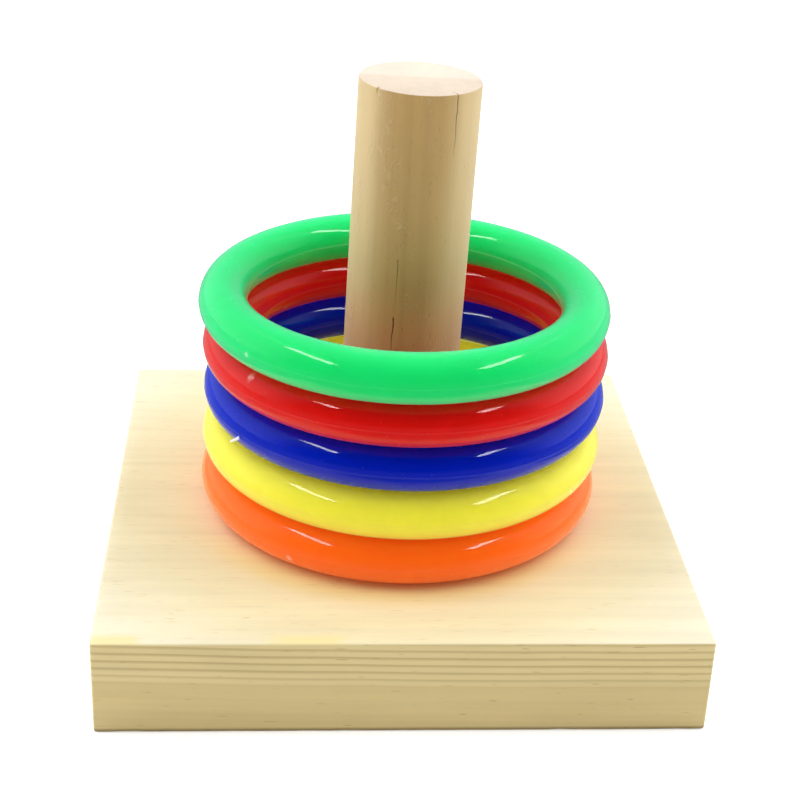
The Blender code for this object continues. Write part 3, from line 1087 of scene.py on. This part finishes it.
def ring_tree():
    """One moulded ring: a grid bent into a torus, finest at the gate and the seam."""
    tree, given = shape_tree(
        "moulded_ring",
        (
            ("Mean Radius", "Float"),
            ("Tube Radius", "Float"),
            ("Centre", "Vector"),
            ("Steps Around", "Int"),
            ("Steps Across", "Int"),
            ("Gate Angle", "Float"),
            ("Gate Rise", "Float"),
            ("Stub Length", "Float"),
            ("Stub Width", "Float"),
            ("Seam Height", "Float"),
            ("Seam Width", "Float"),
            ("Plastic", "Material"),
        ),
    )
    calc = partial(math_node, tree)
    grid = add_node(
        tree,
        "GeometryNodeMeshGrid",
        {
            "Size X": 1.0,
            "Size Y": 1.0,
            "Vertices X": calc("ADD", given["Steps Around"], 1.0),
            "Vertices Y": calc("ADD", given["Steps Across"], 1.0),
        },
    ).outputs["Mesh"]
    position = add_node(tree, "GeometryNodeInputPosition").outputs[0]
    flat = add_node(tree, "ShaderNodeSeparateXYZ", {0: position}).outputs
    # Angles round the ring from its gate, and round the tube from its outside, crowded together
    # near the gate and near the seam.
    even_around = calc("MULTIPLY", flat["X"], 2 * math.pi)
    even_across = calc("MULTIPLY", flat["Y"], 2 * math.pi)
    twice_across = calc("MULTIPLY", even_across, 2.0)
    around = calc("MULTIPLY_ADD", calc("SINE", even_around), -GATE_CROWDING, even_around)
    across = calc("MULTIPLY_ADD", calc("SINE", twice_across), -SEAM_CROWDING, even_across)
    # The seam is where the tube crosses its own middle plane, outside and inside.
    off_middle = calc("MULTIPLY", calc("SINE", across), given["Tube Radius"])
    off_seam = calc("POWER", calc("DIVIDE", off_middle, given["Seam Width"]), 2.0)
    seam_share = calc("EXPONENT", calc("MULTIPLY", off_seam, -1.0))
    seam = calc("MULTIPLY", seam_share, given["Seam Height"])
    # The stub is a small round pad with steep sides.
    along_gate = calc("MULTIPLY", around, calc("ADD", given["Mean Radius"], given["Tube Radius"]))
    up_gate = calc("MULTIPLY", calc("SUBTRACT", across, given["Gate Rise"]), given["Tube Radius"])
    from_gate = calc("SQRT", calc("ADD", calc("POWER", along_gate, 2.0), calc("POWER", up_gate, 2.0)))
    stub_fall = calc("POWER", calc("DIVIDE", from_gate, given["Stub Width"]), STUB_STEEPNESS)
    stub_share = calc("DIVIDE", 1.0, calc("ADD", stub_fall, 1.0))
    stub = calc("MULTIPLY", stub_share, given["Stub Length"])
    tube = calc("ADD", calc("ADD", given["Tube Radius"], seam), stub)
    reach = calc("MULTIPLY_ADD", calc("COSINE", across), tube, given["Mean Radius"])
    angle = calc("ADD", around, given["Gate Angle"])
    round_origin = {
        0: calc("MULTIPLY", calc("COSINE", angle), reach),
        1: calc("MULTIPLY", calc("SINE", angle), reach),
        2: calc("MULTIPLY", calc("SINE", across), tube),
    }
    bent = add_node(tree, "ShaderNodeCombineXYZ", round_origin).outputs[0]
    placed = add_node(tree, "ShaderNodeVectorMath", {0: bent, 1: given["Centre"]}, operation="ADD").outputs[0]
    marked = grid
    for name, share in (("seam", seam_share), ("stub", stub_share)):
        marked = add_node(
            tree,
            "GeometryNodeStoreNamedAttribute",
            {"Geometry": marked, "Name": name, "Value": share},
            data_type="FLOAT",
            domain="POINT",
        ).outputs[0]
    shaped = add_node(tree, "GeometryNodeSetPosition", {"Geometry": marked, "Position": placed}).outputs[0]
    joined = {"Geometry": shaped, "Distance": RING_MERGE_DISTANCE}
    closed = add_node(tree, "GeometryNodeMergeByDistance", joined).outputs[0]
    smooth = add_node(tree, "GeometryNodeSetShadeSmooth", {"Geometry": closed}).outputs[0]
    return finish_tree(tree, smooth, given["Plastic"])


def plastic_finish_group():
    """Moulded plastic: faint flow marks, a paler seam and stub, fine dust and a very fine ripple."""
    tree, given, result = group_tree(
        "plastic_finish",
        (
            ("Colour", "Color", (0.5, 0.5, 0.5, 1.0)),
            ("Whitening", "Color", (0.8, 0.8, 0.8, 1.0)),
            ("Inner Seam", "Float", 0.1),
        ),
        (("Color", "Color"), ("Roughness", "Float"), ("Height", "Float")),
    )
    calc = partial(math_node, tree)
    sources = add_node(tree, "ShaderNodeTexCoord").outputs
    place = sources["Object"]
    seam = add_node(tree, "ShaderNodeAttribute", attribute_name="seam").outputs["Fac"]
    stub = add_node(tree, "ShaderNodeAttribute", attribute_name="stub").outputs["Fac"]
    outwards = {0: sources["Normal"], 1: place}
    facing_out = add_node(tree, "ShaderNodeVectorMath", outwards, operation="DOT_PRODUCT").outputs["Value"]
    inner_seam = calc("MULTIPLY", seam, smooth_rise(tree, facing_out, *INNER_WALL))
    flow = even_noise(tree, place, *FLOW)
    ripple = even_noise(tree, place, *RIPPLE)
    dust = smooth_rise(tree, even_noise(tree, place, *DUST), *DUST_RISE)
    shade = between(tree, flow, *FLOW_SHADE)
    coloured = mix_colour(tree, 1.0, given["Colour"], grey(tree, shade), "MULTIPLY")
    white = calc("MULTIPLY", inner_seam, given["Inner Seam"])
    white = calc("MULTIPLY_ADD", seam, SEAM_WHITENESS, white)
    white = calc("MULTIPLY_ADD", stub, STUB_WHITENESS, white)
    tree.links.new(mix_colour(tree, white, coloured, given["Whitening"]), result["Color"])
    rough = calc("MULTIPLY_ADD", flow, FLOW_ROUGHNESS, PLASTIC_ROUGHNESS)
    rough = calc("MULTIPLY_ADD", dust, DUST_ROUGHNESS, rough)
    tree.links.new(calc("MULTIPLY_ADD", seam, SEAM_ROUGHNESS, rough), result["Roughness"])
    tree.links.new(ripple, result["Height"])
    return tree


PLASTIC_FINISH = plastic_finish_group()
RING_TREE = ring_tree()


def plastic_material(name, colour, edge_sheen_colour, painted_glow, inner_seam):
    """Glossy plastic that light sinks into, with a painted sheen where it is seen edge-on and, where set, a
    painted glow.
    """
    material, tree, shader = new_material("moulded_" + name)
    whitened = [WHITENED + (1 - WHITENED) * part for part in colour]
    finish = add_node(tree, "ShaderNodeGroup", node_tree=PLASTIC_FINISH)
    finish.inputs["Colour"].default_value = (*colour, 1.0)
    finish.inputs["Whitening"].default_value = (*whitened, 1.0)
    finish.inputs["Inner Seam"].default_value = inner_seam
    # Painted sheen: the colour turns paler where the plastic is seen edge-on.
    edge_on_sheen = add_node(tree, "ShaderNodeLayerWeight", {"Blend": 0.5}).outputs["Facing"]
    edge_sheen_share = math_node(tree, "MULTIPLY", math_node(tree, "POWER", edge_on_sheen, 2.0), PLASTIC_EDGE_SHEEN)
    seen = mix_colour(tree, edge_sheen_share, finish.outputs["Color"], (*edge_sheen_colour, 1.0))
    tree.links.new(seen, shader.inputs["Base Color"])
    tree.links.new(finish.outputs["Roughness"], shader.inputs["Roughness"])
    relief(tree, shader, finish.outputs["Height"], RIPPLE_DEPTH, RIPPLE_RELIEF)
    # Painted glow: the plastic gives out light of its own colour, though it is no lamp.
    shader.inputs["Emission Color"].default_value = (*colour, 1.0)
    shader.inputs["Emission Strength"].default_value = painted_glow
    shader.inputs["Specular IOR Level"].default_value = PLASTIC_GLOSS
    shader.inputs["Subsurface Weight"].default_value = PLASTIC_GLOW
    shader.inputs["Subsurface Radius"].default_value = (1.0, 1.0, 1.0)
    shader.inputs["Subsurface Scale"].default_value = PLASTIC_GLOW_DEPTH
    return material


def make_ring(name, gate, stub, **finish):
    low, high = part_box("ring_" + name)
    cad_tube_radius = (high.z - low.z) / 2
    plastic = plastic_material(name, **finish)
    ring = add_piece(name + "_ring", bmesh.new())
    moulding = ring.modifiers.new("moulding", "NODES")
    moulding.node_group = RING_TREE
    set_inputs(moulding, {
        "Mean Radius": (high.x - low.x) / 2 - cad_tube_radius,
        "Tube Radius": RING_TUBE_RADIUS,
        "Centre": (low + high) / 2,
        "Steps Around": RING_STEPS_AROUND,
        "Steps Across": RING_STEPS_ACROSS,
        "Gate Angle": gate[0],
        "Gate Rise": gate[1],
        "Stub Length": stub[0],
        "Stub Width": stub[1],
        "Seam Height": SEAM_HEIGHT,
        "Seam Width": SEAM_WIDTH,
        "Plastic": plastic,
    })
    bake(ring)
    give_material(ring, plastic)
    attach(ring, name)
    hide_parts("ring_" + name)


for ring_name, ring_facts in RINGS.items():
    make_ring(ring_name, **ring_facts)
